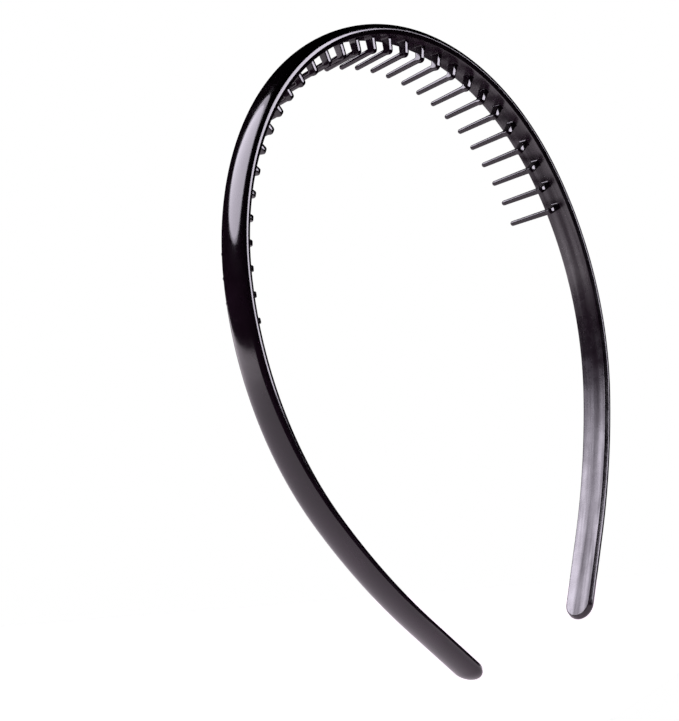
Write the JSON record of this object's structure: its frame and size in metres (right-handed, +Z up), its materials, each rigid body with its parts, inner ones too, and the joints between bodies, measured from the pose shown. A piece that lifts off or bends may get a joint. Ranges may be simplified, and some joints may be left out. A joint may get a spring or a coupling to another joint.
{
  "type": "comb headband",
  "caption": "Springy U-shaped plastic headband with a domed outer face and a row of bent comb teeth on its inner face.",
  "frame": {"origin": "under the middle of the headband, at the height of the arm tips when it stands upright on them", "axes": "+X towards the right arm, +Y the way the comb teeth point, +Z up from the tips to the crown"},
  "size_m": [0.1174, 0.0132, 0.1375],
  "materials": {
    "band": "glossy black injection-moulded plastic",
    "teeth": "glossy black injection-moulded plastic"
  },
  "bodies": {
    "crown": {"crown": "band", "left_tooth_01": "teeth", "left_tooth_02": "teeth", "left_tooth_03": "teeth", "left_tooth_04": "teeth", "left_tooth_05": "teeth", "left_tooth_06": "teeth", "left_tooth_07": "teeth", "right_tooth_01": "teeth", "right_tooth_02": "teeth", "right_tooth_03": "teeth", "right_tooth_04": "teeth", "right_tooth_05": "teeth", "right_tooth_06": "teeth", "right_tooth_07": "teeth"},
    "left_shoulder": {"left_shoulder": "band", "left_tooth_08": "teeth", "left_tooth_09": "teeth", "left_tooth_10": "teeth", "left_tooth_11": "teeth", "left_tooth_12": "teeth", "left_tooth_13": "teeth"},
    "left_arm": {"left_arm": "band", "left_tooth_14": "teeth", "left_tooth_15": "teeth"},
    "right_shoulder": {"right_shoulder": "band", "right_tooth_08": "teeth", "right_tooth_09": "teeth", "right_tooth_10": "teeth", "right_tooth_11": "teeth", "right_tooth_12": "teeth", "right_tooth_13": "teeth"},
    "right_arm": {"right_arm": "band", "right_tooth_14": "teeth", "right_tooth_15": "teeth"}
  },
  "joints": [
    {"name": "left_shoulder_flex", "type": "hinge", "parent": "crown", "child": "left_shoulder", "pos_m": [-0.03723, -0.00313, 0.12396], "axis": [0, 1, 0], "range_deg": [0, 12], "stiffness_Nm_per_rad": 0.35},
    {"name": "left_arm_flex", "type": "hinge", "parent": "left_shoulder", "child": "left_arm", "pos_m": [-0.05582, -0.00313, 0.09534], "axis": [0, 1, 0], "range_deg": [0, 12], "stiffness_Nm_per_rad": 0.3},
    {"name": "right_shoulder_flex", "type": "hinge", "parent": "crown", "child": "right_shoulder", "pos_m": [0.03723, -0.00313, 0.12396], "axis": [0, -1, 0], "range_deg": [0, 12], "stiffness_Nm_per_rad": 0.35},
    {"name": "right_arm_flex", "type": "hinge", "parent": "right_shoulder", "child": "right_arm", "pos_m": [0.05582, -0.00313, 0.09534], "axis": [0, -1, 0], "range_deg": [0, 12], "stiffness_Nm_per_rad": 0.3}
  ],
  "couplings": [
    {"joint": "left_arm_flex", "follows": "left_shoulder_flex", "ratio": 1},
    {"joint": "right_arm_flex", "follows": "right_shoulder_flex", "ratio": 1}
  ]
}
